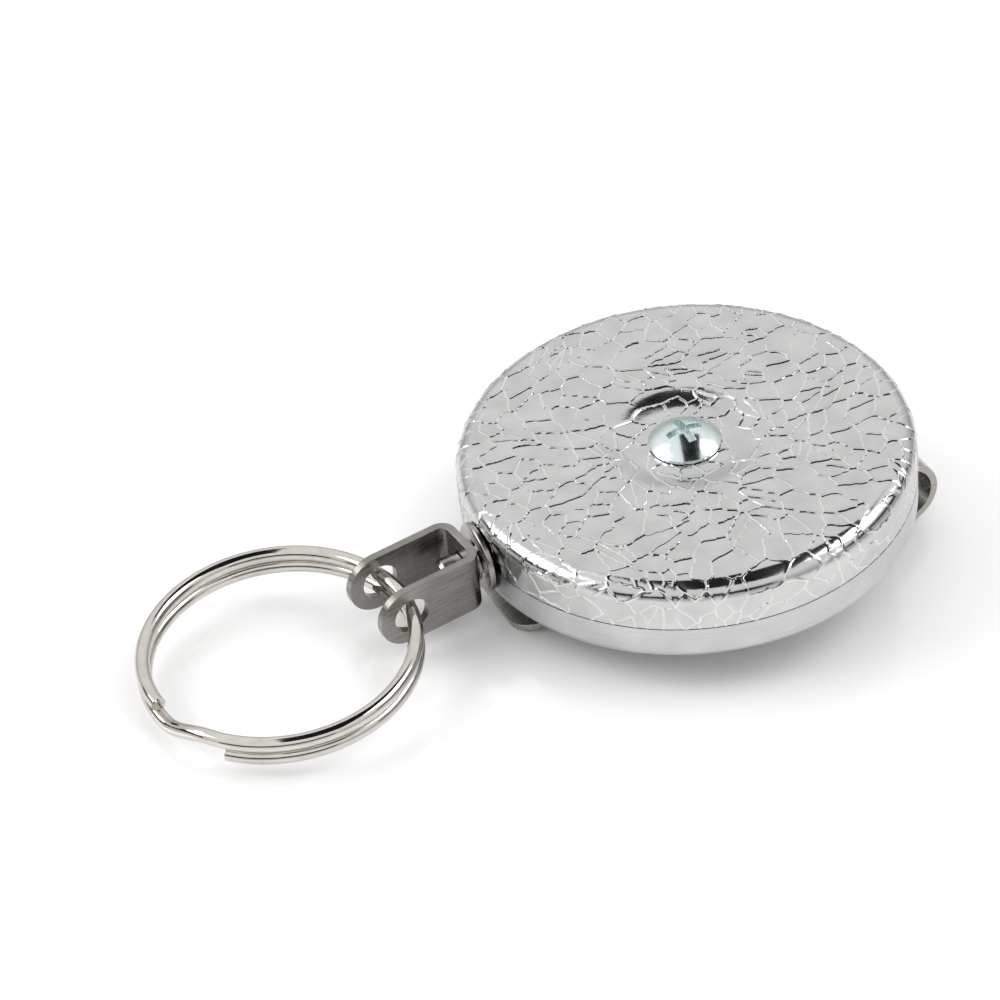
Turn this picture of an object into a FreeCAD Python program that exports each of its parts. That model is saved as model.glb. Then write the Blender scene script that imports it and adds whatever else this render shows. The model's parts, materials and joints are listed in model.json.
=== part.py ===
import FreeCAD, Part
import math
import os
import re

import Sketcher

Vector = FreeCAD.Vector
Placement = FreeCAD.Placement
Rotation = FreeCAD.Rotation

# A retractable reel: a round two-shell case that holds a sprung drum of chain, an eyelet in its
# rim, a swivelling clevis with a split ring on the chain's end, and a steel belt clip behind.
# Millimetres. The origin is where the case's axis meets the face that lies against the belt.
# +Z goes through the case towards the front cover, and the chain is pulled out along -X.

SIZES = [
    ("case_radius", 28.5, "outside of the front cover's skirt"),
    ("case_back", 0.9, "height of the rear case's back face"),
    ("case_front", 11.9, "height of the front cover's face"),
    ("seam_height", 5.8, "height of the skirt's free edge"),
    ("sheet", 0.6, "thickness of both shells"),
    ("shoulder_radius", 2.35, "outer radius of the cover's shoulder"),
    ("rear_corner_radius", 1.4, "outer radius of the rear case's corner"),
    ("rear_radius", 28.4, "outside of the rear case"),
    ("lap_gap", 0.1, "gap between the skirt and the rear case's rim"),
    ("lap_height", 2.6, "how far the rim goes up inside the skirt"),
    ("seam_gap", 0.12, "gap between the skirt's edge and the joggle"),
    ("dimple_radius", 9.5, "outer edge of the dimple around the screw"),
    ("dimple_floor_radius", 5.2, "flat floor of the dimple"),
    ("dimple_depth", 0.8, "depth of the dimple"),
    ("dimple_blend", 4.0, "radius that rounds the dimple's edges"),
    ("screw_clearance_radius", 2.2, "hole in the cover for the screw"),
    ("screw_head_radius", 4.5, "truss head"),
    ("screw_head_rise", 2.1, "height of the head"),
    ("screw_head_land", 0.35, "height of the head's rim"),
    ("screw_radius", 1.95, "shank of the screw"),
    ("screw_length", 5.0, "shank below the cover"),
    ("recess_span", 4.6, "length of the cross recess"),
    ("recess_slot", 0.95, "width of the cross recess"),
    ("recess_depth", 1.3, "depth of the cross recess"),
    ("post_radius", 3.0, "centre post"),
    ("post_flange_radius", 5.5, "flange of the post on the rear case"),
    ("post_flange_height", 0.5, "thickness of that flange"),
    ("post_tap_radius", 2.0, "tapped hole in the post"),
    ("post_tap_floor", 4.2, "height of the tapped hole's floor"),
    ("post_tenon_radius", 1.8, "riveted tenon of the post"),
    ("post_slot_width", 0.5, "slot that holds the spring's inner end"),
    ("running_gap", 0.05, "radial clearance of the drum on the post"),
    ("thrust_thickness", 0.25, "lower thrust washer"),
    ("thrust_radius", 5.0, "both thrust washers"),
    ("drum_bottom", 2.3, "underside of the drum"),
    ("drum_flange", 0.6, "thickness of the drum's lower flange"),
    ("drum_flange_radius", 26.2, "both flanges of the drum"),
    ("hub_radius", 12.5, "outside of the drum's hub"),
    ("hub_wall", 0.8, "wall of the hub"),
    ("hub_top", 9.6, "top of the hub"),
    ("drum_cover_sheet", 0.45, "thickness of the drum's cover plate"),
    ("lane_low", 4.3, "lowest lane of wound chain"),
    ("lane_step", 2.09, "height from lane to lane"),
    ("inner_turn_radius", 13.9, "inner turns of chain"),
    ("outer_turn_radius", 16.15, "outer turns of chain"),
    ("link_wire", 0.7, "wire of a chain link"),
    ("link_bend", 0.93, "bend radius of a link's wire centre"),
    ("link_half_straight", 0.9, "half of a link's straight side"),
    ("link_slack", 0.08, "play between two links"),
    ("lane_window_start", 174.0, "degrees where the chain starts to change lane"),
    ("lane_window_sweep", 30.0, "degrees that a lane change takes"),
    ("leaving_radius", 4.5, "bend where the chain leaves the drum for the eyelet"),
    ("anchor_radius", 0.3, "pin that holds the chain's inner end"),
    ("spring_thickness", 0.2, "spring strip"),
    ("spring_height", 5.4, "width of the spring strip"),
    ("spring_inner_radius", 3.5, "first coil of the spring"),
    ("spring_pitch", 0.8, "radial step from coil to coil"),
    ("spring_half_turns", 20, "half turns of the spring"),
    ("exit_height", 5.5, "height of the eyelet's axis"),
    ("eyelet_hole_radius", 2.35, "hole in the rim for the eyelet"),
    ("eyelet_barrel_radius", 2.3, "barrel of the eyelet"),
    ("eyelet_bore_radius", 1.9, "bore of the eyelet"),
    ("eyelet_flange_radius", 4.4, "outer flange of the eyelet"),
    ("eyelet_flange", 0.7, "thickness of the outer flange"),
    ("eyelet_clinch_radius", 3.3, "clinched inner end of the eyelet"),
    ("end_offset", 30.3, "clevis web from the case's axis"),
    ("end_yaw", 6.8, "degrees that the clevis hangs towards -Y"),
    ("end_roll", 1.5, "degrees that the clevis leans about its length"),
    ("clevis_sheet", 1.0, "strap thickness of the clevis"),
    ("clevis_half_width", 4.2, "half of the clevis's outside width"),
    ("clevis_height", 7.8, "height of the strap"),
    ("clevis_length", 14.6, "web to ear tips"),
    ("clevis_bend", 2.0, "outer bend radius"),
    ("ear_round", 3.85, "rounding of the ears"),
    ("ear_hole_radius", 2.35, "hole in each ear"),
    ("ear_hole_offset", 10.4, "web to the ear holes"),
    ("pin_radius", 1.0, "shank of the swivel pin"),
    ("pin_hole_radius", 1.1, "hole in the web for the pin"),
    ("pin_head_radius", 1.65, "head of the swivel pin"),
    ("pin_head_length", 2.8, "length of the head"),
    ("pin_play", 0.15, "end play of the clevis on the pin"),
    ("pin_eye_offset", 2.1, "web to the eye behind it"),
    ("pin_eye_radius", 1.4, "outside of the pin's eye"),
    ("pin_eye_hole_radius", 0.78, "hole of the eye"),
    ("pin_eye_thickness", 0.9, "thickness of the eye"),
    ("washer_radius", 2.8, "swivel washer"),
    ("washer_thickness", 0.4, "swivel washer"),
    ("ring_radius", 16.3, "wire centre of the split ring"),
    ("ring_wire_radius", 0.93, "wire of the split ring"),
    ("ring_level", 0.965, "each coil's height off the ring's middle"),
    ("ring_joggle_start", 184.0, "degrees where the crossing wire starts to rise"),
    ("ring_joggle_sweep", 26.0, "degrees that the wire takes to cross"),
    ("ring_upper_end", 180.0, "degrees where the upper coil ends"),
    ("ring_lower_end", 218.0, "degrees where the lower coil ends"),
    ("clip_width", 16.0, "belt clip strip"),
    ("clip_sheet", 0.9, "thickness of the strip"),
    ("clip_reach", 31.0, "outermost point of the clip's bend"),
    ("clip_bend", 4.7, "outer radius of the clip's bend"),
    ("clip_leg_end", 9.5, "how far the fixed leg passes the axis"),
    ("clip_leaf_angle", 8.8, "degrees that the leaf rises to the case"),
    ("clip_leaf_length", 45.5, "straight part of the leaf"),
    ("clip_lip_radius", 8.0, "bend of the lip"),
    ("clip_lip_turn", 18.0, "degrees that the lip turns away"),
    ("clip_lip_length", 5.8, "straight end of the lip"),
    ("clip_corner_radius", 3.5, "corners of the leaf's free end"),
    ("clip_split", 0.04, "gap between the clip's two halves"),
    ("rivet_radius", 1.4, "shank of a clip rivet"),
    ("rivet_head_radius", 2.0, "flush head of a clip rivet"),
    ("rivet_tail_height", 0.4, "upset tail inside the case"),
    ("rivet_near", 8.5, "one rivet along the leg"),
    ("rivet_far", 19.0, "the other rivet along the leg"),
]

doc = FreeCAD.newDocument("badge_reel")
sheet = doc.addObject("Spreadsheet::Sheet", "Sizes")
for row, (alias, value, note) in enumerate(SIZES, start=1):
    sheet.set(f"A{row}", str(value))
    sheet.setAlias(f"A{row}", alias)
    sheet.set(f"B{row}", note)
doc.recompute()

NODES = {}


def bound(expression):
    """The expression with each cell's alias qualified by the sheet's name."""
    return re.sub(r"\b([a-z][a-z_]*)\b(?!\()", r"Sizes.\1", str(expression))


def number(expression):
    return float(sheet.evalExpression(bound(expression)))


def point(pair):
    return Vector(number(pair[0]), number(pair[1]), 0)


def new_body(label):
    body = doc.addObject("PartDesign::Body", label)
    body.Label = label
    NODES[label] = body
    return body


def new_sketch(body, plane, name, lift="0"):
    """A sketch on one of the body's own origin planes, or lifted off it."""
    sketch = body.newObject("Sketcher::SketchObject", name)
    base = [o for o in body.Origin.OriginFeatures if o.Role == plane][0]
    sketch.AttachmentSupport = [(base, "")]
    sketch.MapMode = "FlatFace"
    sketch.AttachmentOffset = Placement(Vector(0, 0, number(lift)), Rotation())
    sketch.setExpression("AttachmentOffset.Base.z", bound(lift))
    return sketch


def fix_point(sketch, geometry, end, pair):
    """Holds one end of a line or arc at a pair of expressions."""
    for kind, expression in zip(("DistanceX", "DistanceY"), pair):
        index = sketch.addConstraint(
            Sketcher.Constraint(kind, -1, 1, geometry, end, number(expression))
        )
        sketch.setExpression(f"Constraints[{index}]", bound(expression))


def arc_between(start, finish, radius, side):
    """The shorter arc from start to finish, with its centre on the left (1) or right (-1)."""
    chord = finish - start
    middle = (start + finish) * 0.5
    normal = Vector(-chord.y, chord.x, 0).normalize()
    rise = math.sqrt(max(radius**2 - (chord.Length / 2) ** 2, 0.0))
    centre = middle + normal * rise * side
    through = centre - normal * radius * side
    return Part.Arc(start, through, finish)


def outline(sketch, corners):
    """A closed outline. A corner is (x, y), or (x, y, radius, side) where an arc arrives at it."""
    count = len(corners)
    for i, corner in enumerate(corners):
        start, finish = point(corners[i - 1]), point(corner)
        if len(corner) == 2:
            index = sketch.addGeometry(Part.LineSegment(start, finish))
            fix_point(sketch, index, 2, corner)
            continue
        radius, side = corner[2:]
        arc = arc_between(start, finish, number(radius), side)
        index = sketch.addGeometry(arc)
        arrives = 2 if sketch.getPoint(index, 2).distanceToPoint(finish) < 1e-6 else 1
        fix_point(sketch, index, arrives, corner)
        held = sketch.addConstraint(Sketcher.Constraint("Radius", index, number(radius)))
        sketch.setExpression(f"Constraints[{held}]", bound(radius))
    for i in range(count):
        before, after = point(corners[i - 1]), i
        leaves = 1 if sketch.getPoint(after, 1).distanceToPoint(before) < 1e-6 else 2
        previous = (i - 1) % count
        arrives = 2 if sketch.getPoint(previous, 2).distanceToPoint(before) < 1e-6 else 1
        sketch.addConstraint(Sketcher.Constraint("Coincident", previous, arrives, after, leaves))


def circle(sketch, centre, radius):
    """A circle held at a pair of expressions."""
    index = sketch.addGeometry(Part.Circle(point(centre), Vector(0, 0, 1), number(radius)))
    fix_point(sketch, index, 3, centre)
    held = sketch.addConstraint(Sketcher.Constraint("Radius", index, number(radius)))
    sketch.setExpression(f"Constraints[{held}]", bound(radius))


def turned(body, corners, name="profile"):
    """A full revolution about Z of an outline given as (radius, height)."""
    sketch = new_sketch(body, "XZ_Plane", name)
    outline(sketch, corners)
    feature = body.newObject("PartDesign::Revolution", f"{name}_turn")
    feature.Profile = sketch
    feature.ReferenceAxis = (sketch, ["V_Axis"])
    feature.Angle = 360
    doc.recompute()
    return feature


def padded(body, plane, corners, length, midplane=True, name="outline"):
    sketch = new_sketch(body, plane, name)
    outline(sketch, corners)
    feature = body.newObject("PartDesign::Pad", f"{name}_pad")
    feature.Profile = sketch
    feature.setExpression("Length", bound(length))
    feature.Midplane = midplane
    doc.recompute()
    return feature


def cut(body, plane, draw, length, midplane=False, reversed_=False, lift="0", name="cut"):
    """A pocket drawn by draw(sketch), stopped with a message if it removes nothing."""
    before = body.Shape.Volume
    sketch = new_sketch(body, plane, name, lift)
    draw(sketch)
    feature = body.newObject("PartDesign::Pocket", f"{name}_pocket")
    feature.Profile = sketch
    feature.setExpression("Length", bound(length))
    feature.Midplane = midplane
    feature.Reversed = reversed_
    doc.recompute()
    if not body.Shape.Volume < before - 1e-3:
        raise RuntimeError(f"{body.Label}: {name} cuts nothing")
    return feature


def rounded(body, base, radius, chosen, name="round"):
    """A fillet on the edges of base that chosen(edge) picks."""
    edges = [f"Edge{i}" for i, e in enumerate(base.Shape.Edges, start=1) if chosen(e)]
    if not edges:
        raise RuntimeError(f"{body.Label}: {name} finds no edge")
    feature = body.newObject("PartDesign::Fillet", name)
    feature.Base = (base, edges)
    feature.setExpression("Radius", bound(radius))
    doc.recompute()
    return feature


def rim(radius, height):
    """Picks the circular edge about Z with this radius and height."""

    def chosen(edge):
        curve = edge.Curve
        return (
            isinstance(curve, Part.Circle)
            and abs(curve.Radius - number(radius)) < 1e-4
            and abs(curve.Center.z - number(height)) < 1e-4
            and abs(curve.Center.x) + abs(curve.Center.y) < 1e-4
        )

    return chosen


def either(*choices):
    return lambda edge: any(chosen(edge) for chosen in choices)


def washer(label, bottom, thickness, radius, bore):
    """A flat ring about Z, from its underside's height."""
    top = f"{bottom} + {thickness}"
    body = new_body(label)
    turned(body, [(bore, bottom), (radius, bottom), (radius, top), (bore, top)])
    return body


def feature_node(label, shape):
    """A node whose shape is worked out with Part's own functions."""
    feature = doc.addObject("Part::Feature", label)
    feature.Label = label
    feature.Shape = shape
    NODES[label] = feature
    return feature


# The end fittings hang from the eyelet in a frame of their own: web at the origin, tips along -X.
END = Placement(
    Vector(-number("end_offset"), 0, number("exit_height")),
    Rotation(Vector(0, 0, 1), number("end_yaw")) * Rotation(Vector(1, 0, 0), number("end_roll")),
)
ALONG_X = Rotation(Vector(0, 0, 1), Vector(1, 0, 0))

TWIST_LINKS = 16  # links over which the chain twists by 45 degrees


def exit_hole(sketch):
    circle(sketch, ("0", "exit_height"), "eyelet_hole_radius")


def make_front_cover():
    """A pressed cap with a dimple round the screw and a hole for the eyelet in its skirt."""
    body = new_body("front_cover")
    inner = "case_radius - sheet"
    floor = "case_front - dimple_depth"
    corners = [
        ("screw_clearance_radius", floor),
        ("dimple_floor_radius", floor),
        ("dimple_radius", "case_front"),
        ("case_radius", "case_front"),
        ("case_radius", "seam_height"),
        (inner, "seam_height"),
        (inner, "case_front - sheet"),
        ("dimple_radius", "case_front - sheet"),
        ("dimple_floor_radius", f"{floor} - sheet"),
        ("screw_clearance_radius", f"{floor} - sheet"),
    ]
    shell = turned(body, corners)
    outer = rounded(body, shell, "shoulder_radius", rim("case_radius", "case_front"), "shoulder")
    within = rim(inner, "case_front - sheet")
    inside = rounded(body, outer, "shoulder_radius - sheet", within, "shoulder_inside")
    bends = either(
        rim("dimple_radius", "case_front"),
        rim("dimple_floor_radius", floor),
        rim("dimple_radius", "case_front - sheet"),
        rim("dimple_floor_radius", f"{floor} - sheet"),
    )
    rounded(body, inside, "dimple_blend", bends, "dimple_blend")
    cut(body, "YZ_Plane", exit_hole, "case_radius + sheet", name="eyelet_hole")


def make_rear_case():
    """A pressed cup whose joggled rim fits inside the cover's skirt."""
    body = new_body("rear_case")
    lap = "case_radius - sheet - lap_gap"
    step = "seam_height - seam_gap"
    top = "seam_height + lap_height"
    floor = "case_back + sheet"
    inner = "rear_radius - sheet"
    corners = [
        ("post_tenon_radius", "case_back"),
        ("rear_radius", "case_back"),
        ("rear_radius", step),
        (lap, step),
        (lap, top),
        (f"{lap} - sheet", top),
        (f"{lap} - sheet", f"{step} - sheet"),
        (inner, f"{step} - sheet"),
        (inner, floor),
        ("post_tenon_radius", floor),
    ]
    shell = turned(body, corners)
    outside = rounded(body, shell, "rear_corner_radius", rim("rear_radius", "case_back"), "corner")
    rounded(body, outside, "rear_corner_radius - sheet", rim(inner, floor), "corner_inside")
    cut(body, "YZ_Plane", exit_hole, "case_radius + sheet", name="eyelet_hole")

    def rivet_holes(sketch):
        circle(sketch, ("rivet_near", "0"), "rivet_radius")
        circle(sketch, ("rivet_far", "0"), "rivet_radius")

    height = "case_back + sheet + rivet_tail_height"
    cut(body, "XY_Plane", rivet_holes, height, reversed_=True, name="rivet_holes")


def make_eyelet():
    """The bell-mouthed flanged eyelet that the chain runs through."""
    body = new_body("exit_eyelet")
    # Turned about Z, then laid along X: its height is the distance out from the case's axis.
    face = "case_radius + 0.05 + eyelet_flange"
    back = "case_radius + 0.05"
    wall = "case_radius - sheet - 0.7"
    corners = [
        ("eyelet_bore_radius", f"{face} - 0.9"),
        ("eyelet_bore_radius + 0.9", face, "0.9", -1),
        ("eyelet_flange_radius - 0.3", face),
        ("eyelet_flange_radius", f"{face} - 0.3", "0.3", -1),
        ("eyelet_flange_radius", back),
        ("eyelet_barrel_radius", back),
        ("eyelet_barrel_radius", f"{wall} - 0.35"),
        ("eyelet_clinch_radius", f"{wall} - 0.35"),
        ("eyelet_clinch_radius", f"{wall} - 0.75"),
        ("eyelet_bore_radius + 0.5", f"{wall} - 0.75"),
        ("eyelet_bore_radius", f"{wall} - 0.25", "0.5", -1),
    ]
    turned(body, corners)
    body.Placement = Placement(
        Vector(0, 0, number("exit_height")), Rotation(Vector(0, 0, 1), Vector(-1, 0, 0))
    )


def make_post():
    """The centre post: riveted through the rear case, slotted for the spring, tapped on top."""
    body = new_body("centre_post")
    floor = "case_back + sheet"
    flange = f"{floor} + post_flange_height"
    top = "case_front - dimple_depth - sheet"
    corners = [
        ("0", "case_back"),
        ("post_tenon_radius", "case_back"),
        ("post_tenon_radius", floor),
        ("post_flange_radius", floor),
        ("post_flange_radius", flange),
        ("post_radius", flange),
        ("post_radius", top),
        ("post_tap_radius", top),
        ("post_tap_radius", "post_tap_floor"),
        ("0", "post_tap_floor"),
    ]
    turned(body, corners)
    low = "drum_bottom + drum_flange + 0.2"
    high = "hub_top - 0.2"
    half = "post_slot_width / 2"

    def slot(sketch):
        edges = [(f"-{half}", low), (half, low), (half, high), (f"-{half}", high)]
        outline(sketch, edges)

    cut(body, "YZ_Plane", slot, "post_radius + 1", reversed_=True, name="spring_slot")


def make_screw():
    """The truss-head screw that clamps the cover to the post."""
    body = new_body("centre_screw")
    seat = "case_front - dimple_depth"
    land = f"{seat} + screw_head_land"
    crown = f"{seat} + screw_head_rise"
    rise = "(screw_head_rise - screw_head_land)"
    dome = f"(screw_head_radius^2 + {rise}^2) / (2 * {rise})"
    corners = [
        ("0", f"{seat} - screw_length"),
        ("screw_radius - 0.4", f"{seat} - screw_length"),
        ("screw_radius", f"{seat} - screw_length + 0.4"),
        ("screw_radius", seat),
        ("screw_head_radius", seat),
        ("screw_head_radius", land),
        ("0", crown, dome, 1),
    ]
    turned(body, corners)
    long, short = "recess_span / 2", "recess_slot / 2"

    def cross(sketch):
        corners = [
            (long, f"-{short}"), (long, short), (short, short), (short, long),
            (f"-{short}", long), (f"-{short}", short), (f"-{long}", short),
            (f"-{long}", f"-{short}"), (f"-{short}", f"-{short}"), (f"-{short}", f"-{long}"),
            (short, f"-{long}"), (short, f"-{short}"),
        ]
        outline(sketch, corners)

    cut(body, "XY_Plane", cross, "recess_depth", lift=crown, name="recess")


def make_drum():
    """The drum's lower half: floor, hub wall and lower flange in one moulding."""
    body = new_body("reel_drum")
    bore = "post_radius + running_gap"
    floor = "drum_bottom + drum_flange"
    inside = "hub_radius - hub_wall"
    corners = [
        (bore, "drum_bottom"),
        ("drum_flange_radius", "drum_bottom"),
        ("drum_flange_radius", floor),
        ("hub_radius", floor),
        ("hub_radius", "hub_top"),
        (inside, "hub_top"),
        (inside, floor),
        (bore, floor),
    ]
    turned(body, corners)

    def spring_anchor(sketch):
        low, high = f"{floor} + 0.2", "hub_top"
        half = "post_slot_width / 2"
        edges = [(f"-{half}", low), (half, low), (half, high), (f"-{half}", high)]
        outline(sketch, edges)

    cut(body, "YZ_Plane", spring_anchor, "hub_radius + 1", reversed_=True, name="spring_anchor")


def make_drum_cover():
    """The plate that closes the spring chamber and is the drum's upper flange."""
    top = "hub_top + drum_cover_sheet"
    body = new_body("drum_cover")
    bore = "post_radius + running_gap"
    edge = "drum_flange_radius"
    turned(body, [(bore, "hub_top"), (edge, "hub_top"), (edge, top), (bore, top)])


def half_circle(centre_x, radius, upper):
    """Half of a circle on the X axis, run counter-clockwise."""
    side = 1 if upper else -1
    ends = [Vector(centre_x + side * radius, 0, 0), Vector(centre_x - side * radius, 0, 0)]
    return Part.Arc(ends[0], Vector(centre_x, side * radius, 0), ends[1]).toShape()


def make_spring():
    """A flat power spring: half circles about two centres, with a tab at each end."""
    thickness, pitch = number("spring_thickness"), number("spring_pitch")
    first, turns = number("spring_inner_radius"), int(number("spring_half_turns"))
    low, height = number("drum_bottom + drum_flange + 0.6"), number("spring_height")
    inner, outer = [], []
    for k in range(turns):
        centre = pitch / 4 if k % 2 else -pitch / 4
        radius = first + k * pitch / 2
        inner.append(half_circle(centre, radius, k % 2 == 0))
        outer.append(half_circle(centre, radius + thickness, k % 2 == 0))
    start, finish = first - pitch / 4, first + (turns - 1) * pitch / 2 + pitch / 4
    ends = [
        Part.makeLine(Vector(x, 0, 0), Vector(x + thickness, 0, 0)) for x in (start, finish)
    ]
    face = Part.Face(Part.Wire(Part.__sortEdges__(inner + outer + ends)))
    coil = face.extrude(Vector(0, 0, height))
    in_slot = number("post_tap_radius") + 0.15
    inner_tab = Part.makeBox(start + thickness - in_slot, thickness, height, Vector(in_slot, 0, 0))
    in_hub = number("hub_radius") - 0.15
    outer_tab = Part.makeBox(in_hub - finish, thickness, height, Vector(finish, -thickness, 0))
    strip = coil.fuse([inner_tab, outer_tab]).removeSplitter()
    strip.translate(Vector(0, 0, low))
    feature_node("power_spring", strip)


def make_link():
    """One chain link along X in the XY plane: two half tori joined by two straight wires."""
    wire, bend = number("link_wire / 2"), number("link_bend")
    straight = number("link_half_straight")
    solids = []
    for side in (1, -1):
        section = Part.Face(
            Part.Wire(Part.makeCircle(wire, Vector(side * straight, bend, 0), Vector(1, 0, 0)))
        )
        solids.append(section.revolve(Vector(side * straight, 0, 0), Vector(0, 0, -side), 180))
        start = Vector(-straight, side * bend, 0)
        solids.append(Part.makeCylinder(wire, 2 * straight, start, Vector(1, 0, 0)))
    link = solids[0].fuse(solids[1:]).removeSplitter()
    return link.Solids[0]


def link_at(link, centre, heading, roll):
    """A copy of the link at a place, along a heading, rolled about it by degrees."""
    across = Vector(0, 0, 1).cross(heading).normalize()
    up = heading.cross(across)
    basis = FreeCAD.Matrix(
        heading.x, across.x, up.x, centre.x,
        heading.y, across.y, up.y, centre.y,
        heading.z, across.z, up.z, centre.z,
        0, 0, 0, 1,
    )
    turn = Placement(Vector(), Rotation(Vector(1, 0, 0), roll))
    copy = link.copy()
    copy.Placement = Placement(basis) * turn
    return copy


def eased(share):
    share = min(max(share, 0.0), 1.0)
    return share * share * (3 - 2 * share)


def wound_path(step=0.5):
    """Points of the chain from its anchor, round the hub lane by lane, to the straight run."""
    inner, outer = number("inner_turn_radius"), number("outer_turn_radius")
    lanes = [(0, inner), (1, inner), (2, inner), (2, outer), (1, outer)]
    low, rise = number("lane_low"), number("lane_step")
    window, sweep = number("lane_window_start"), number("lane_window_sweep")
    first = window + sweep
    bend, side_step = number("leaving_radius"), END.multVec(Vector(number("pin_eye_offset"), 0, 0)).y
    leave = 180 - math.degrees(math.asin((bend + side_step) / (outer + bend)))
    last = leave + 360 * len(lanes)
    points, angle = [], first
    while angle <= last:
        turn = int((angle - first) // 360)
        share = eased((angle - first - 360 * turn - (360 - sweep)) / sweep)
        lane, radius = lanes[turn]
        next_lane, next_radius = lanes[min(turn + 1, len(lanes) - 1)]
        height = low + rise * (lane + share * (next_lane - lane))
        drop = eased((angle - last + 90) / 90)
        height += drop * (number("exit_height") - height)
        around = radius + share * (next_radius - radius)
        bearing = math.radians(angle)
        points.append(Vector(around * math.cos(bearing), around * math.sin(bearing), height))
        angle += step
    bearing = math.radians(leave)
    hub = Vector((outer + bend) * math.cos(bearing), (outer + bend) * math.sin(bearing), 0)
    turn, arc_end = leave - 180, -90
    while turn > arc_end:
        bearing = math.radians(turn)
        place = hub + Vector(math.cos(bearing), math.sin(bearing), 0) * bend
        points.append(Vector(place.x, place.y, number("exit_height")))
        turn -= step * 4
    points.append(Vector(hub.x, hub.y - bend, number("exit_height")))
    return points


def make_chain():
    """Real links: wound ones on the drum, and a short straight run inside the eyelet."""
    link = make_link()
    reach = number("link_half_straight + link_bend")
    pitch = number("2 * (link_half_straight + link_bend) - link_wire - link_slack")
    eye = END.multVec(Vector(number("pin_eye_offset"), 0, 0))
    path = wound_path()
    run, x, count = [], eye.x + reach, 0
    while x < path[-1].x:
        run.append(link_at(link, Vector(x, eye.y, eye.z), Vector(-1, 0, 0), 90 * count))
        x += pitch
        count += 1
    feature_node("chain_run", Part.makeCompound(run))

    places, meeting = [], Vector(x - pitch / 2, eye.y, eye.z)
    for here, before in zip(reversed(path[1:]), reversed(path[:-1])):
        near, far = here.distanceToPoint(meeting), before.distanceToPoint(meeting)
        if far >= pitch > near:
            after = here + (before - here) * ((pitch - near) / (far - near))
            places.append(((meeting + after) * 0.5, (meeting - after).normalize()))
            meeting = after
    # Links lie at 45 degrees on the hub, and twist to upright at the exit and flat at the anchor.
    last = len(places) - 1
    flat = 90 * ((count + last) % 2)
    wound = []
    for k, (centre, heading) in enumerate(places):
        twist = 45 * min(k / TWIST_LINKS, 1.0)
        twist += (flat - 45) * max(1 - (last - k) / TWIST_LINKS, 0.0)
        wound.append(link_at(link, centre, heading, 90 * (count + k) + twist))
    feature_node("wound_chain", Part.makeCompound(wound))
    links = count + len(wound)
    print("chain", links, "links,", round(links * pitch), "mm")
    return places[-1][0]


def make_anchor(place):
    """The pin that holds the chain's last link to the drum."""
    pin = doc.addObject("Part::Cylinder", "chain_anchor_pin")
    pin.Label = "chain_anchor_pin"
    pin.setExpression("Radius", bound("anchor_radius"))
    pin.setExpression("Height", bound("lane_low + link_wire - drum_bottom - drum_flange"))
    pin.Placement = Placement(
        Vector(place.x, place.y, number("drum_bottom + drum_flange")), Rotation()
    )
    NODES[pin.Label] = pin


def make_clevis():
    """A strap bent into a U, with a round-ended ear each side and a hole in its web."""
    body = new_body("clevis")
    half, inside = "clevis_half_width", "clevis_half_width - clevis_sheet"
    corners = [
        ("0", f"-{half}"),
        ("0", half),
        ("-clevis_length", half),
        ("-clevis_length", inside),
        ("-clevis_sheet", inside),
        ("-clevis_sheet", f"-({inside})"),
        ("-clevis_length", f"-({inside})"),
        ("-clevis_length", f"-{half}"),
    ]
    strap = padded(body, "XY_Plane", corners, "clevis_height")

    def upright_at(x, y):
        def chosen(edge):
            middle = edge.CenterOfMass
            upright = abs(edge.Length - number("clevis_height")) < 1e-4
            off = abs(middle.x - number(x)) + abs(abs(middle.y) - number(y))
            return upright and off < 1e-4

        return chosen

    def ear_corner(edge):
        middle = edge.CenterOfMass
        at_tip = abs(middle.x + number("clevis_length")) < 1e-4
        return at_tip and abs(abs(middle.z) - number("clevis_height / 2")) < 1e-4

    bent = rounded(body, strap, "clevis_bend", upright_at("0", half), "outer_bends")
    inner_bends = upright_at("-clevis_sheet", inside)
    bent = rounded(body, bent, "clevis_bend - clevis_sheet", inner_bends, "inner_bends")
    rounded(body, bent, "ear_round", ear_corner, "ear_rounding")

    def ear_holes(sketch):
        circle(sketch, ("-ear_hole_offset", "0"), "ear_hole_radius")

    def web_hole(sketch):
        circle(sketch, ("0", "0"), "pin_hole_radius")

    cut(body, "XZ_Plane", ear_holes, "clevis_half_width * 3", midplane=True, name="ear_holes")
    cut(body, "YZ_Plane", web_hole, "clevis_sheet + 0.5", name="web_hole")
    body.Placement = END


def make_swivel_pin():
    """A headed pin through the clevis's web, with an eye behind it for the chain."""
    body = new_body("swivel_pin")
    under = "clevis_sheet + pin_play"
    top = f"{under} + pin_head_length"
    corners = [
        ("0", "-pin_eye_offset + 0.65"),
        ("pin_radius", "-pin_eye_offset + 0.65"),
        ("pin_radius", under),
        ("pin_head_radius", under),
        ("pin_head_radius", f"{top} - 0.4"),
        ("pin_head_radius - 0.4", top),
        ("0", top),
    ]
    turned(body, corners)
    sketch = new_sketch(body, "XZ_Plane", "eye")
    circle(sketch, ("0", "-pin_eye_offset"), "pin_eye_radius")
    eye = body.newObject("PartDesign::Pad", "eye_pad")
    eye.Profile = sketch
    eye.setExpression("Length", bound("pin_eye_thickness"))
    eye.Midplane = True
    doc.recompute()

    def eye_hole(sketch):
        circle(sketch, ("0", "-pin_eye_offset"), "pin_eye_hole_radius")

    cut(body, "XZ_Plane", eye_hole, "pin_eye_thickness * 3", midplane=True, name="eye_hole")
    body.Placement = END * Placement(Vector(), Rotation(Vector(0, 0, 1), Vector(-1, 0, 0)))


def make_swivel_washer():
    body = washer("swivel_washer", "0.1", "washer_thickness", "washer_radius", "pin_radius + 0.03")
    body.Placement = END * Placement(Vector(), ALONG_X)


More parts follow.
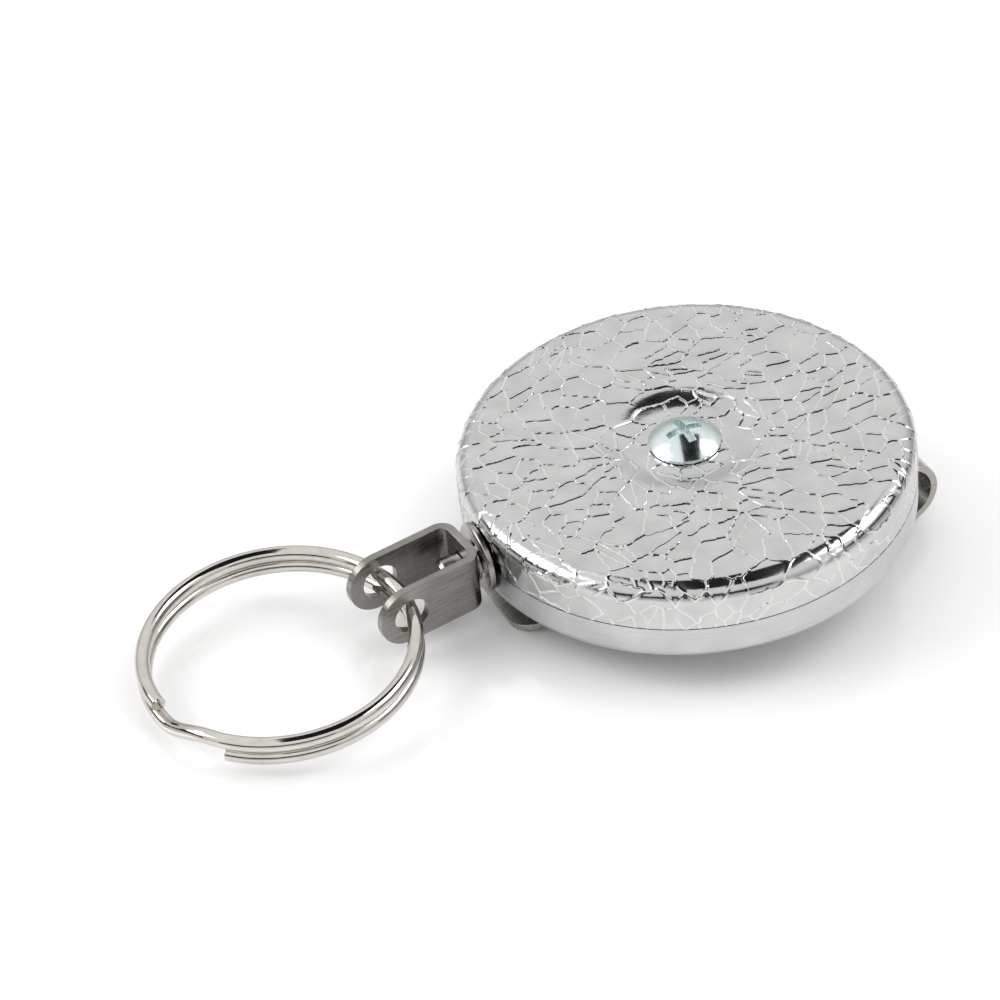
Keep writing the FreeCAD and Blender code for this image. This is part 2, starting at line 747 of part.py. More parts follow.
def ring_path_point(bearing, height):
    radius = number("ring_radius")
    angle = math.radians(bearing)
    return Vector(radius * math.cos(angle), radius * math.sin(angle), height)


def make_split_ring():
    """Two coils of wire: the wire crosses from the lower coil to the upper one past their ends."""
    radius, wire = number("ring_radius"), number("ring_wire_radius")
    level = number("ring_level")
    start, sweep = number("ring_joggle_start"), number("ring_joggle_sweep")

    def coil(height, first, last):
        """A stretch of torus at one level, between two bearings in degrees."""
        angle = math.radians(first)
        tangent = Vector(-math.sin(angle), math.cos(angle), 0)
        circle_edge = Part.makeCircle(wire, ring_path_point(first, height), tangent)
        section = Part.Face(Part.Wire(circle_edge))
        return section.revolve(Vector(0, 0, height), Vector(0, 0, 1), last - first)

    sections, stations = [], 8
    for k in range(stations + 1):
        share = k / stations
        centre = ring_path_point(start + share * sweep, level * (2 * eased(share) - 1))
        slope = 2 * level * 6 * share * (1 - share) / (radius * math.radians(sweep))
        angle = math.radians(start + share * sweep)
        tangent = Vector(-math.sin(angle), math.cos(angle), slope)
        sections.append(Part.Wire(Part.makeCircle(wire, centre, tangent)))
    crossing = Part.makeLoft(sections, True, False)
    lower = coil(-level, number("ring_lower_end") - 360, start)
    upper = coil(level, start + sweep, number("ring_upper_end") + 360)
    ring = lower.fuse([crossing, upper]).removeSplitter()
    ring.Placement = END * Placement(Vector(ring_centre_x(), 0, 0), Rotation())
    feature_node("split_ring", ring)


def ring_centre_x():
    """Where the ring's centre lies, so that its wire is centred in both ears."""
    middle_of_ear = number("clevis_half_width - clevis_sheet / 2")
    return -number("ear_hole_offset") - math.sqrt(number("ring_radius") ** 2 - middle_of_ear**2)


def make_clip_base():
    """The clip's fixed leg and the upper half of its bend."""
    body = new_body("belt_clip_base")
    centre_x, centre_z = "(clip_reach - clip_bend)", "(clip_sheet - clip_bend)"
    edge = f"{centre_z} + clip_split / 2"
    outer, inner = "clip_bend", "clip_bend - clip_sheet"
    corners = [
        ("-clip_leg_end", "0"),
        (centre_x, "0"),
        (f"{centre_x} + sqrt(({inner})^2 - (clip_split / 2)^2)", edge, inner, -1),
        (f"{centre_x} + sqrt({outer}^2 - (clip_split / 2)^2)", edge),
        (centre_x, "clip_sheet", outer, 1),
        ("-clip_leg_end", "clip_sheet"),
    ]
    strip = padded(body, "XZ_Plane", corners, "clip_width")

    def leg_corner(edge_):
        at_end = abs(edge_.CenterOfMass.x + number("clip_leg_end")) < 1e-4
        return at_end and edge_.Length < number("clip_sheet * 1.01")

    rounded(body, strip, "clip_corner_radius", leg_corner, "leg_corners")

    def holes(sketch):
        circle(sketch, ("rivet_near", "0"), "rivet_radius")
        circle(sketch, ("rivet_far", "0"), "rivet_radius")

    def lower_mouth(edge_):
        curve = edge_.Curve
        if not isinstance(curve, Part.Circle) or abs(curve.Axis.z) < 0.9:
            return False
        return abs(curve.Center.z) + abs(curve.Radius - number("rivet_radius")) < 1e-4

    drilled = cut(body, "XY_Plane", holes, "clip_sheet + 0.5", reversed_=True, name="rivet_holes")
    numbered = enumerate(drilled.Shape.Edges, start=1)
    edges = [f"Edge{i}" for i, edge_ in numbered if lower_mouth(edge_)]
    sink = body.newObject("PartDesign::Chamfer", "countersinks")
    sink.Base = (drilled, edges)
    sink.setExpression("Size", bound("rivet_head_radius - rivet_radius"))
    doc.recompute()


def make_clip_leaf():
    """The lower half of the clip's bend and the sprung leaf, with its lip turned away."""
    body = new_body("belt_clip_leaf")
    centre_x, centre_z = "(clip_reach - clip_bend)", "(clip_sheet - clip_bend)"
    edge = f"{centre_z} - clip_split / 2"
    outer, inner = "clip_bend", "(clip_bend - clip_sheet)"
    lean, turn = "clip_leaf_angle", "(clip_leaf_angle - clip_lip_turn)"

    def bend_end(radius):
        return (f"{centre_x} - {radius} * sin({lean})", f"{centre_z} - {radius} * cos({lean})")

    def straight_end(radius):
        x, z = bend_end(radius)
        return (f"{x} - clip_leaf_length * cos({lean})", f"{z} + clip_leaf_length * sin({lean})")

    lip_x, lip_z = straight_end(outer)
    lip_x = f"({lip_x} - clip_lip_radius * sin({lean}))"
    lip_z = f"({lip_z} - clip_lip_radius * cos({lean}))"

    def lip_end(radius, length="0"):
        x = f"{lip_x} + {radius} * sin({turn}) - {length} * cos({turn})"
        z = f"{lip_z} + {radius} * cos({turn}) + {length} * sin({turn})"
        return (x, z)

    under, over = "clip_lip_radius", "(clip_lip_radius + clip_sheet)"
    corners = [
        (f"{centre_x} + sqrt({outer}^2 - (clip_split / 2)^2)", edge),
        (*bend_end(outer), outer, -1),
        straight_end(outer),
        (*lip_end(under), under, 1),
        lip_end(under, "clip_lip_length"),
        lip_end(over, "clip_lip_length"),
        lip_end(over),
        (*straight_end(inner), over, -1),
        bend_end(inner),
        (f"{centre_x} + sqrt({inner}^2 - (clip_split / 2)^2)", edge, inner, 1),
    ]
    strip = padded(body, "XZ_Plane", corners, "clip_width")
    tip = number(lip_end(under, "clip_lip_length")[0])

    def tip_corner(edge_):
        middle = edge_.CenterOfMass
        return abs(middle.x - tip) < 0.5 and edge_.Length < number("clip_sheet * 1.01")

    rounded(body, strip, "clip_corner_radius", tip_corner, "tip_corners")


def make_clip_rivets():
    """Two flush rivets that hold the clip's leg to the rear case."""
    group = []
    for place in ("rivet_near", "rivet_far"):
        head = doc.addObject("Part::Cone", f"{place}_head")
        head.setExpression("Radius1", bound("rivet_head_radius"))
        head.setExpression("Radius2", bound("rivet_radius"))
        head.setExpression("Height", bound("rivet_head_radius - rivet_radius"))
        shank = doc.addObject("Part::Cylinder", f"{place}_shank")
        shank.setExpression("Radius", bound("rivet_radius"))
        shank.setExpression("Height", bound("case_back + sheet"))
        tail = doc.addObject("Part::Cone", f"{place}_tail")
        tail.setExpression("Radius1", bound("rivet_head_radius"))
        tail.setExpression("Radius2", bound("rivet_radius"))
        tail.setExpression("Height", bound("rivet_tail_height"))
        tail.setExpression("Placement.Base.z", bound("case_back + sheet"))
        rivet = doc.addObject("Part::MultiFuse", f"{place}_rivet")
        rivet.Shapes = [head, shank, tail]
        rivet.setExpression("Placement.Base.x", bound(place))
        group.append(rivet)
    both = doc.addObject("Part::Compound", "clip_rivets")
    both.Label = "clip_rivets"
    both.Links = group
    NODES["clip_rivets"] = both


make_front_cover()
make_rear_case()
make_eyelet()
make_post()
make_screw()
washer("lower_thrust_washer", "case_back + sheet + post_flange_height", "thrust_thickness",
       "thrust_radius", "post_radius + running_gap")
make_drum()
make_drum_cover()
washer("upper_thrust_washer", "hub_top + drum_cover_sheet + 0.05", "thrust_thickness",
       "thrust_radius", "post_radius + running_gap")
make_spring()
anchor_place = make_chain()
make_anchor(anchor_place)
make_clevis()
make_swivel_pin()
make_swivel_washer()
make_split_ring()
make_clip_base()
make_clip_leaf()
make_clip_rivets()
doc.recompute()

for thing in doc.Objects:
    if "Invalid" in thing.State or "Error" in thing.State:
        raise RuntimeError(f"{thing.Label} failed: {thing.State}")
for label, node in NODES.items():
    if node.Shape.isNull() or not node.Shape.isValid():
        raise RuntimeError(f"{label} has no valid shape")

os.makedirs("parts", exist_ok=True)
for label, node in NODES.items():
    node.Shape.exportStep(f"parts/{label}.step")
    print(f"{label:22s} {len(node.Shape.Solids):4d} solids {node.Shape.Volume:10.2f} mm3")
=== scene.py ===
import json
import math

import bpy
import numpy as np
from mathutils import Matrix, Vector, geometry


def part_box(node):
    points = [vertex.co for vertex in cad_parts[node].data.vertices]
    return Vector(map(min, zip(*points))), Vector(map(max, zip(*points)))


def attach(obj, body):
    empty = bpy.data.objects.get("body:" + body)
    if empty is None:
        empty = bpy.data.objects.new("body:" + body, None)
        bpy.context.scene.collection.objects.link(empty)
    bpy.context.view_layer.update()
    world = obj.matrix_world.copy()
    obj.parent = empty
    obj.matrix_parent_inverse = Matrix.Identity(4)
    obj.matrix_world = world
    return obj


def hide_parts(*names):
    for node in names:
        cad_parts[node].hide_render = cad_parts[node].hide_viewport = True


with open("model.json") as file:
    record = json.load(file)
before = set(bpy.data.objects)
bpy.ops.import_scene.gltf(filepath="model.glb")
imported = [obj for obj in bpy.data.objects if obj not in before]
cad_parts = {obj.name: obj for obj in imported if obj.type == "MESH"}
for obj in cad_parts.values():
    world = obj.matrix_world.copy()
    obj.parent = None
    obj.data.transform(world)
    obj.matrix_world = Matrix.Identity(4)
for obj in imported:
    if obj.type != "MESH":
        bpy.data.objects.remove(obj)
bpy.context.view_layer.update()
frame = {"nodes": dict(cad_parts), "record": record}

# A retractable reel: a crackle-embossed chrome cover on a satin case, with a clevis, a split ring
# and a belt clip. Metres, in the frame of the CAD model. Lengths are given in millimetres times MM.

MM = 0.001
RANDOM = np.random.default_rng(7)

# Camera: where it looks, from which side in degrees, how it leans, and its lens in millimetres.
AIM = Vector((-21.94, 8.17, 5.5)) * MM
AZIMUTH, ELEVATION, ROLL = (math.radians(a) for a in (-21.18, 40.04, -6.81))
DISTANCE = 415.3 * MM
LENS, SENSOR = 120.67, 36.0

# Front cover: sheet, shoulder and screw hole as in the CAD model, and a dimple with a softer wall.
SHEET = 0.6 * MM
SHOULDER = 2.35 * MM
SCREW_HOLE = 2.2 * MM
DIMPLE_DEPTH = 0.8 * MM
DIMPLE_INNER, DIMPLE_OUTER = 6.0 * MM, 10.6 * MM
NOTCH_RADIUS, NOTCH_HEIGHT = 2.35 * MM, 5.5 * MM
GRID_STEP = 0.14 * MM

# Crackle: raised lines along the borders of uneven cells, each cell slightly dished at its border.
EMBOSS = 0.12 * MM
DISH = 0.012 * MM
DISH_REACH = 0.9 * MM
CELL = 3.3 * MM
ROW_RATIO = 0.87  # height of a row of cells to their width
EXTRA_CELLS, LEFT_OUT, CUT_SHORT = 0.35, 0.13, 0.12  # shares of cells and of borders
LINE_WIDTH = (0.26 * MM, 0.42 * MM)
LINE_HEIGHT = (0.5, 1.0)  # shares of EMBOSS
PIECE_LENGTH = 0.55 * MM
PIECE_JITTER = 0.16  # millimetres
BIN = 1.0 * MM

FLOOR_HALF = 6.0


# ---------------------------------------------------------------- materials

MIX_FACTOR, MIX_A, MIX_B, MIX_RESULT = 0, 6, 7, 2  # sockets of a Mix node set to colours


def node(tree, kind, inputs=None, **settings):
    """Adds a node. An input's value is a number, a colour or another node's output."""
    made = tree.nodes.new(kind)
    for name, value in settings.items():
        setattr(made, name, value)
    for name, value in (inputs or {}).items():
        if isinstance(value, bpy.types.NodeSocket):
            tree.links.new(value, made.inputs[name])
        else:
            made.inputs[name].default_value = value
    return made


def new_material(name):
    """A material, its node tree and its Principled shader."""
    material = bpy.data.materials.new(name)
    material.use_nodes = True
    tree = material.node_tree
    shader = tree.nodes["Principled BSDF"]
    return material, tree, shader


def noise(tree, coordinates, scale, detail=3.0, stretch=(1, 1, 1), turn=(0, 0, 0)):
    """Noise over object coordinates, with so many features per metre."""
    mapping = node(
        tree,
        "ShaderNodeMapping",
        {"Vector": coordinates, "Scale": stretch, "Rotation": turn},
    )
    inputs = {"Vector": mapping.outputs["Vector"], "Scale": scale, "Detail": detail}
    return node(tree, "ShaderNodeTexNoise", inputs).outputs["Fac"]


def mapped(tree, value, low, high):
    """Noise, whose values lie mostly between 0.3 and 0.7, spread from low to high."""
    inputs = {"Value": value, "From Min": 0.3, "From Max": 0.7, "To Min": low, "To Max": high}
    return node(tree, "ShaderNodeMapRange", inputs).outputs["Result"]


def mixed(tree, share, first, second):
    """A blend of two colours, of which the first may be another node's output."""
    mix = tree.nodes.new("ShaderNodeMix")
    mix.data_type = "RGBA"
    tree.links.new(share, mix.inputs[MIX_FACTOR])
    if isinstance(first, bpy.types.NodeSocket):
        tree.links.new(first, mix.inputs[MIX_A])
    else:
        mix.inputs[MIX_A].default_value = (*first, 1)
    mix.inputs[MIX_B].default_value = (*second, 1)
    return mix.outputs[MIX_RESULT]


def bumped(tree, height, depth):
    """A bump as deep as depth where the height goes from 0 to 1."""
    return node(tree, "ShaderNodeBump", {"Height": height, "Strength": 1.0, "Distance": depth})


def metal(name, dark, light, rough, grain, stretch, depth, rounding=0.0, turn=(0, 0, 0), patch=180):
    """Brushed or polished metal: stretched grain, broad tone patches, soft edges."""
    material, tree, shader = new_material(name)
    coordinates = node(tree, "ShaderNodeTexCoord").outputs["Object"]
    streaks = noise(tree, coordinates, grain, 4.0, stretch, turn)
    patches = noise(tree, coordinates, patch, 3.0)
    tone = node(tree, "ShaderNodeMath", {0: streaks, 1: patches}, operation="ADD")
    half = node(tree, "ShaderNodeMath", {0: tone.outputs[0], 1: 0.5}, operation="MULTIPLY")
    share = mapped(tree, half.outputs[0], 0.0, 1.0)
    tree.links.new(mixed(tree, share, dark, light), shader.inputs["Base Color"])
    tree.links.new(mapped(tree, streaks, *rough), shader.inputs["Roughness"])
    shader.inputs["Metallic"].default_value = 1.0
    bump = bumped(tree, streaks, depth)
    if rounding:
        soft = node(tree, "ShaderNodeBevel", {"Radius": rounding}, samples=6)
        tree.links.new(soft.outputs["Normal"], bump.inputs["Normal"])
    tree.links.new(bump.outputs["Normal"], shader.inputs["Normal"])
    return material


def chrome_material():
    """Bright chrome over the embossing: random tone and roughness patches, and a painted highlight on
    the raised lines, whose base colour is lighter than the cells'.
    """
    material, tree, shader = new_material("embossed_chrome")
    coordinates = node(tree, "ShaderNodeTexCoord").outputs["Object"]
    line = node(tree, "ShaderNodeAttribute", attribute_name="line").outputs["Fac"]
    patches = noise(tree, coordinates, 260.0, 4.0)
    grain = noise(tree, coordinates, 5200.0, 2.0)
    share = mapped(tree, patches, 0.0, 1.0)
    cells = mixed(tree, share, (0.53, 0.535, 0.525), (0.63, 0.635, 0.625))
    # Painted highlight: the raised lines get a lighter base colour (0.80) than the cells, standing in
    # for the glints they catch.
    tree.links.new(mixed(tree, line, cells, (0.80, 0.80, 0.79)), shader.inputs["Base Color"])
    tree.links.new(mapped(tree, patches, 0.10, 0.2), shader.inputs["Roughness"])
    shader.inputs["Metallic"].default_value = 1.0
    broad = bumped(tree, patches, 0.035 * MM)
    fine = bumped(tree, grain, 0.002 * MM)
    tree.links.new(broad.outputs["Normal"], fine.inputs["Normal"])
    tree.links.new(fine.outputs["Normal"], shader.inputs["Normal"])
    return material


def nylon_material():
    material, tree, shader = new_material("nylon")
    coordinates = node(tree, "ShaderNodeTexCoord").outputs["Object"]
    patches = noise(tree, coordinates, 400.0, 5.0)
    grain = noise(tree, coordinates, 6000.0, 2.0)
    colour = mixed(tree, mapped(tree, patches, 0.0, 1.0), (0.62, 0.60, 0.54), (0.74, 0.72, 0.66))
    tree.links.new(colour, shader.inputs["Base Color"])
    tree.links.new(mapped(tree, grain, 0.35, 0.5), shader.inputs["Roughness"])
    bump = bumped(tree, grain, 0.01 * MM)
    tree.links.new(bump.outputs["Normal"], shader.inputs["Normal"])
    return material


END_LEAN = (0, 0, math.radians(-6.8))

MATERIALS = {
    "embossed_chrome": chrome_material(),
    "satin_steel": metal(
        "satin_steel", (0.50, 0.505, 0.51), (0.66, 0.665, 0.67), (0.24, 0.40), 90.0, (1, 1, 60),
        0.004 * MM,
    ),
    "eyelet_steel": metal(
        "eyelet_steel", (0.30, 0.28, 0.26), (0.46, 0.44, 0.42), (0.16, 0.3), 800.0, (4, 1, 1),
        0.003 * MM,
    ),
    "turned_steel": metal(
        "turned_steel", (0.42, 0.42, 0.42), (0.58, 0.58, 0.57), (0.2, 0.35), 400.0, (1, 1, 12),
        0.004 * MM,
    ),
    "zinc_screw": metal(
        "zinc_screw", (0.56, 0.66, 0.67), (0.80, 0.88, 0.86), (0.10, 0.2), 700.0, (1, 1, 1),
        0.006 * MM, 0.12 * MM,
    ),
    "clip_steel": metal(
        "clip_steel", (0.36, 0.34, 0.31), (0.56, 0.54, 0.51), (0.18, 0.32), 260.0, (1, 22, 1),
        0.004 * MM, 0.12 * MM,
    ),
    "chain_steel": metal(
        "chain_steel", (0.50, 0.48, 0.45), (0.68, 0.66, 0.62), (0.12, 0.25), 900.0, (1, 1, 1),
        0.003 * MM,
    ),
    "spring_steel": metal(
        "spring_steel", (0.20, 0.22, 0.26), (0.34, 0.35, 0.38), (0.2, 0.35), 300.0, (1, 1, 14),
        0.002 * MM,
    ),
    "clevis_steel": metal(
        "clevis_steel", (0.17, 0.16, 0.15), (0.38, 0.36, 0.34), (0.20, 0.36), 160.0, (1, 1, 26),
        0.006 * MM, 0.14 * MM, END_LEAN,
    ),
    "ring_nickel": metal(
        "ring_nickel", (0.54, 0.51, 0.47), (0.72, 0.69, 0.65), (0.05, 0.11), 500.0, (1, 1, 5),
        0.0015 * MM, 0.08 * MM,
    ),
    "nylon": nylon_material(),
}


def dress_cad_nodes():
    """Each CAD node takes the material of its slot in the record."""
    slots = {part["node"]: part["material_slot"] for part in frame["record"]["subparts"]}
    for name, thing in frame["nodes"].items():
        material = MATERIALS[slots[name]]
        if not thing.material_slots:
            thing.data.materials.append(material)
        for slot in thing.material_slots:
            slot.material = material


# ---------------------------------------------------------------- embossed cover


def eased(share):
    share = np.clip(share, 0.0, 1.0)
    return share * share * (3 - 2 * share)


def cell_borders(reach):
    """Short line pieces along the borders of uneven cells over a disc, each with width and height."""
    count = int(reach / CELL) + 2
    places = []
    for i in range(-count, count + 1):
        for j in range(-count, count + 1):
            shift = RANDOM.uniform(-0.48, 0.48, 2)
            x, y = i + 0.5 * (j % 2), j * ROW_RATIO
            places.append(((x + shift[0]) * CELL, (y + shift[1]) * CELL))
            if RANDOM.random() < EXTRA_CELLS:
                extra = RANDOM.uniform(-0.5, 0.5, 2)
                places.append(((i + extra[0]) * CELL, (j + extra[1]) * CELL * ROW_RATIO))
    corners, _, faces, *_ = geometry.delaunay_2d_cdt([Vector(p) for p in places], [], [], 0, 1e-9)
    centres = [circumcentre(*(corners[k] for k in face)) for face in faces]
    beside = {}
    for index, face in enumerate(faces):
        for a, b in zip(face, face[1:] + face[:1]):
            beside.setdefault((min(a, b), max(a, b)), []).append(index)
    pieces = []
    for pair in beside.values():
        keep, first, last = RANDOM.random(3)
        wide, high = RANDOM.uniform(*LINE_WIDTH), RANDOM.uniform(*LINE_HEIGHT)
        if len(pair) < 2 or keep < LEFT_OUT:
            continue
        start, finish = (centres[k] for k in pair)
        if start.length > reach or finish.length > reach:
            continue
        if first < CUT_SHORT:
            finish = start.lerp(finish, 0.35 + 0.4 * last)
        pieces += crooked(start, finish, wide, high)
    return pieces


def circumcentre(a, b, c):
    """The centre of the circle through three points, or their middle if they are in line."""
    d = 2 * (a.x * (b.y - c.y) + b.x * (c.y - a.y) + c.x * (a.y - b.y))
    if abs(d) < 1e-12:
        return (a + b + c) / 3
    aa, bb, cc = a.length_squared, b.length_squared, c.length_squared
    x = (aa * (b.y - c.y) + bb * (c.y - a.y) + cc * (a.y - b.y)) / d
    y = (aa * (c.x - b.x) + bb * (a.x - c.x) + cc * (b.x - a.x)) / d
    return Vector((x, y))


def crooked(start, finish, wide, high):
    """A border as a crooked line: its inner points are moved a little sideways."""
    length = (finish - start).length
    if length < 0.25 * MM:
        return []
    count = max(1, round(length / PIECE_LENGTH))
    across = Vector((start.y - finish.y, finish.x - start.x)) / length
    points = [start]
    for k in range(1, count):
        sideways = across * RANDOM.uniform(-PIECE_JITTER, PIECE_JITTER) * MM
        points.append(start.lerp(finish, k / count) + sideways)
    points.append(finish)
    return [(bent(a), bent(b), wide, high) for a, b in zip(points, points[1:])]


def bent(place):
    """Broad waves that stretch the cells in one direction here and another there."""
    x, y = place / MM
    dx = 1.3 * math.sin(y / 4.1 + 0.6) + 0.7 * math.sin(x / 2.9 + y / 5.3)
    dy = 1.1 * math.sin(x / 4.7 + 1.9) + 0.6 * math.sin(y / 3.1 - x / 6.1 + 0.8)
    return np.array((x + dx, y + dy)) * MM


def embossing(places, pieces):
    """The height share of the lines and the nearness to a line at each place of the flat pattern."""
    cells = np.floor(places / BIN).astype(int)
    low = cells.min(axis=0)
    cells -= low
    columns = cells[:, 1].max() + 1
    keys = cells[:, 0] * columns + cells[:, 1]
    order = np.argsort(keys, kind="stable")
    ranked = keys[order]
    height = np.zeros(len(places))
    nearest = np.full(len(places), DISH_REACH)
    for start, finish, wide, high in pieces:
        reach = max(wide / 2, DISH_REACH)
        corner_a = np.floor((np.minimum(start, finish) - reach) / BIN).astype(int) - low
        corner_b = np.floor((np.maximum(start, finish) + reach) / BIN).astype(int) - low
        for i in range(corner_a[0], corner_b[0] + 1):
            left = np.searchsorted(ranked, i * columns + max(corner_a[1], 0), "left")
            right = np.searchsorted(ranked, i * columns + min(corner_b[1], columns - 1), "right")
            if right <= left or i < 0:
                continue
            chosen = order[left:right]
            along = finish - start
            share = np.clip((places[chosen] - start) @ along / (along @ along), 0, 1)
            away = np.linalg.norm(places[chosen] - start - share[:, None] * along, axis=1)
            ridge = high * np.clip(1 - (away / (wide / 2)) ** 2, 0, 1) ** 1.5
            height[chosen] = np.maximum(height[chosen], ridge)
            nearest[chosen] = np.minimum(nearest[chosen], away)
    return height, 1 - eased(nearest / DISH_REACH)


def cover_profile():
    """The cover's outside from the screw hole to the skirt's edge: radius, height, normal, length."""
    low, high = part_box("front_cover")
    radius, top, edge = high.x, high.z, low.z
    turn_start = radius - SHOULDER
    flat = np.arange(SCREW_HOLE, turn_start, GRID_STEP)
    heights = top - DIMPLE_DEPTH * (1 - eased((flat - DIMPLE_INNER) / (DIMPLE_OUTER - DIMPLE_INNER)))
    around = np.linspace(0, math.pi / 2, round(SHOULDER * math.pi / 2 / GRID_STEP))
    skirt = np.linspace(top - SHOULDER, edge, round((top - SHOULDER - edge) / GRID_STEP))[1:]
    r = np.concatenate((flat, turn_start + SHOULDER * np.sin(around), np.full(len(skirt), radius)))
    z = np.concatenate((heights, top - SHOULDER * (1 - np.cos(around)), skirt))
    tangent = np.gradient(np.stack((r, z), axis=1), axis=0)
    tangent /= np.linalg.norm(tangent, axis=1)[:, None]
    normal = np.stack((-tangent[:, 1], tangent[:, 0]), axis=1)
    steps = np.hypot(np.diff(r), np.diff(z))
    length = SCREW_HOLE + np.concatenate(((0,), np.cumsum(steps)))
    return r, z, normal, length


def notch(x, y, z, top):
    """Lifts the skirt's edge into a round notch over the eyelet's barrel."""
    edge = z.min()
    inside = (x < 0) & (np.abs(y) < NOTCH_RADIUS) & (z < top)
    rim = NOTCH_HEIGHT + np.sqrt(np.clip(NOTCH_RADIUS**2 - y**2, 0, None))
    rim = np.maximum(rim, edge)
    share = (top - z) / (top - edge)
    return np.where(inside, top - share * (top - rim), z)


def build_cover():
    """The pressed cover as one closed shell, its outside embossed with raised crackle lines."""
    r, z, normal, length = cover_profile()
    columns = round(2 * math.pi * r.max() / GRID_STEP)
    angle = np.linspace(0, 2 * math.pi, columns, endpoint=False)
    across, along = np.cos(angle), np.sin(angle)
    flat = np.stack((np.outer(length, across), np.outer(length, along)), axis=2).reshape(-1, 2)
    line, near = embossing(flat, cell_borders(length.max() + 2 * MM))
    fade = np.clip((length - SCREW_HOLE) / MM, 0, 1).repeat(columns)
    offset = (-EMBOSS - DISH + (EMBOSS * line + DISH * (1 - near)) * fade).reshape(len(r), columns)
    rr = r[:, None] + normal[:, :1] * offset
    zz = z[:, None] + normal[:, 1:] * offset
    outside = np.stack((rr * across, rr * along, zz), axis=2)

    low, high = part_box("front_cover")
    inner, roof = high.x - SHEET, high.z - SHEET
    bend = SHOULDER - SHEET
    dimple = roof - DIMPLE_DEPTH
    back = [(high.x - EMBOSS, low.z), (inner, low.z), (inner, roof - bend)]
    for turn in (0.5, 1.0, 1.57):
        back.append((inner - bend * (1 - math.cos(turn)), roof - bend * (1 - math.sin(turn))))
    back += [(DIMPLE_OUTER, roof), (DIMPLE_INNER, dimple), (SCREW_HOLE, dimple)]
    rings = [np.stack((a * across, a * along, np.full(columns, b)), axis=1) for a, b in back]
    shell = np.concatenate((outside, np.stack(rings)))
    x, y, height = shell[..., 0], shell[..., 1], shell[..., 2]
    shell[..., 2] = notch(x, y, height, high.z - SHOULDER)

    rows = len(shell)
    index = np.arange(rows * columns).reshape(rows, columns)
    after = np.roll(index, -1, axis=1)
    below, below_after = np.roll(index, -1, axis=0), np.roll(after, -1, axis=0)
    faces = np.stack((index, below, below_after, after), axis=2).reshape(-1, 4)
    mesh = bpy.data.meshes.new("embossed_cover")
    mesh.from_pydata(shell.reshape(-1, 3).tolist(), [], faces.tolist())
    # The line share also serves as the mask of the painted highlight on the raised lines in the
    # chrome material.
    mesh.attributes.new("line", "FLOAT", "POINT")
    shares = np.zeros(rows * columns, np.float32)
    shares[: len(line)] = line
    mesh.attributes["line"].data.foreach_set("value", shares)
    mesh.shade_smooth()
    mesh.set_sharp_from_angle(angle=math.radians(50))
    cover = bpy.data.objects.new("embossed_cover", mesh)
    bpy.context.collection.objects.link(cover)
    mesh.materials.append(MATERIALS["embossed_chrome"])
    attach(cover, "case")
    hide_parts("front_cover")


# ---------------------------------------------------------------- floor, light and camera


def view_axes(azimuth, elevation, roll=0.0):
    """The camera's right, up and back directions."""
    back = Vector(
        (
            math.sin(azimuth) * math.cos(elevation),
            -math.cos(azimuth) * math.cos(elevation),
            math.sin(elevation),
        )
    )
    level = Vector((math.cos(azimuth), math.sin(azimuth), 0))
    rise = back.cross(level)
    right = level * math.cos(roll) + rise * math.sin(roll)
    return right, back.cross(right), back


def place_facing(thing, right, up, back, centre):
    """Puts a camera, light or flat sheet at a centre, with its own Z along back."""
    axes = Matrix((right, up, back)).transposed().to_4x4()
    thing.matrix_world = Matrix.Translation(centre) @ axes


def add_camera():
    data = bpy.data.cameras.new("photo_view")
    data.lens, data.sensor_width = LENS, SENSOR
    data.clip_start, data.clip_end = 0.01, 20
    camera = bpy.data.objects.new("photo_view", data)
    bpy.context.collection.objects.link(camera)
    right, up, back = view_axes(AZIMUTH, ELEVATION, ROLL)
    place_facing(camera, right, up, back, AIM + back * DISTANCE)
    bpy.context.scene.camera = camera


def support_plane():
    """The plane the reel rests on, under the clip's bend and the leaf's tip: its lean and a point."""
    points = np.array([v.co for v in frame["nodes"]["belt_clip_leaf"].data.vertices])
    foot = points[points[:, 2].argmin()]
    far = points[points[:, 0] < foot[0] - 20 * MM]
    lean = math.atan(((far[:, 2] - foot[2]) / (far[:, 0] - foot[0])).max())
    up = Vector((-math.sin(lean), 0, math.cos(lean)))
    return lean, up * (points @ np.array(up)).min()


def quad(name, half_x, half_y):
    """A flat sheet of the studio, not part of the reel."""
    mesh = bpy.data.meshes.new(name)
    corners = [(-half_x, -half_y, 0), (half_x, -half_y, 0), (half_x, half_y, 0), (-half_x, half_y, 0)]
    mesh.from_pydata(corners, [], [(0, 1, 2, 3)])
    thing = bpy.data.objects.new(name, mesh)
    bpy.context.collection.objects.link(thing)
    return thing


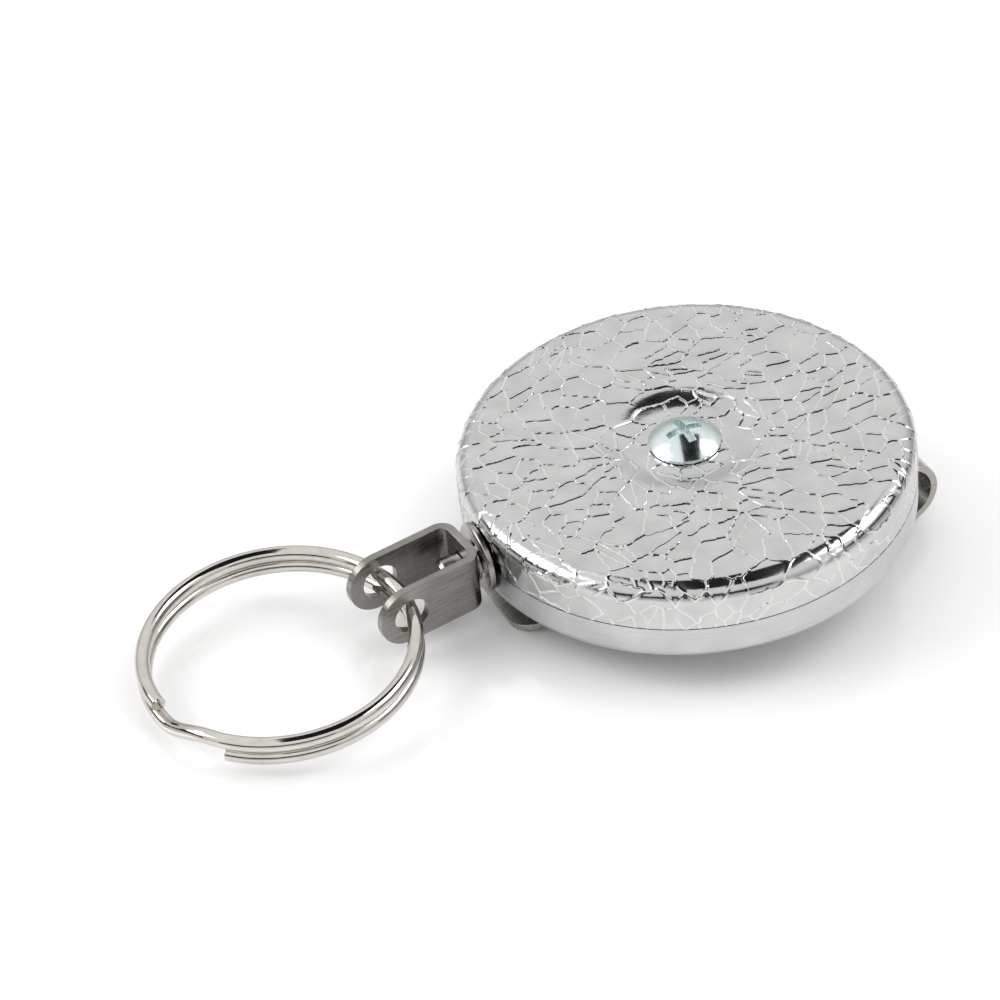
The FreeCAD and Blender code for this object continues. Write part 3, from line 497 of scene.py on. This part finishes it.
def add_floor():
    """Glossy white, under the reel as it lies on its clip."""
    lean, place = support_plane()
    right, up = Vector((math.cos(lean), 0, math.sin(lean))), Vector((0, 1, 0))
    floor = quad("floor", FLOOR_HALF, FLOOR_HALF)
    place_facing(floor, right, up, right.cross(up), place)
    material, tree, shader = new_material("gloss_white")
    coordinates = node(tree, "ShaderNodeTexCoord").outputs["Object"]
    patches = noise(tree, coordinates, 3.0, 2.0)
    colour = mixed(tree, mapped(tree, patches, 0.0, 1.0), (0.90, 0.90, 0.90), (0.93, 0.93, 0.93))
    tree.links.new(colour, shader.inputs["Base Color"])
    shader.inputs["Roughness"].default_value = 0.12
    shader.inputs["Specular IOR Level"].default_value = 0.45
    floor.data.materials.append(material)


def add_card(name, azimuth, elevation, distance, half_wide, half_tall):
    """A dark card that only reflections see."""
    card = quad(name, half_wide, half_tall)
    right, up, back = view_axes(math.radians(azimuth), math.radians(elevation))
    place_facing(card, right, up, -back, back * distance)
    material, tree, shader = new_material(name)
    shader.inputs["Base Color"].default_value = (0.01, 0.01, 0.01, 1)
    shader.inputs["Specular IOR Level"].default_value = 0.0
    card.data.materials.append(material)
    card.visible_camera = card.visible_diffuse = card.visible_shadow = False


def add_light(name, azimuth, elevation, distance, size, power):
    """A square softbox, in metres and watts, aimed at the reel."""
    data = bpy.data.lights.new(name, "AREA")
    data.shape, data.size, data.energy = "SQUARE", size, power
    light = bpy.data.objects.new(name, data)
    bpy.context.collection.objects.link(light)
    right, up, back = view_axes(math.radians(azimuth), math.radians(elevation))
    place_facing(light, right, up, back, back * distance)


def add_world():
    """White studio air, darker towards the horizon."""
    world = bpy.data.worlds.new("studio")
    world.use_nodes = True
    bpy.context.scene.world = world
    tree = world.node_tree
    direction = node(tree, "ShaderNodeTexCoord").outputs["Generated"]
    height = node(tree, "ShaderNodeSeparateXYZ", {"Vector": direction}).outputs["Z"]
    inputs = {"Value": height, "From Min": 0.0, "From Max": 0.55, "To Min": 0.5, "To Max": 1.0}
    strength = node(tree, "ShaderNodeMapRange", inputs).outputs["Result"]
    background = tree.nodes["Background"]
    background.inputs["Color"].default_value = (1, 1, 1, 1)
    tree.links.new(strength, background.inputs["Strength"])


dress_cad_nodes()
build_cover()
add_camera()
add_floor()
add_world()
add_light("side_left", -115, 38, 1.1, 0.7, 5.0)
add_light("side_right", 75, 45, 1.1, 0.6, 3.0)
add_card("overhead_card", 69, 79, 0.8, 0.52, 0.27)
add_card("front_card", -30, 14, 1.0, 0.8, 0.13)
add_card("left_card", -110, 16, 1.0, 0.5, 0.12)
add_card("right_card", 70, 14, 1.0, 0.5, 0.10)
bpy.context.scene.view_settings.view_transform = "Standard"
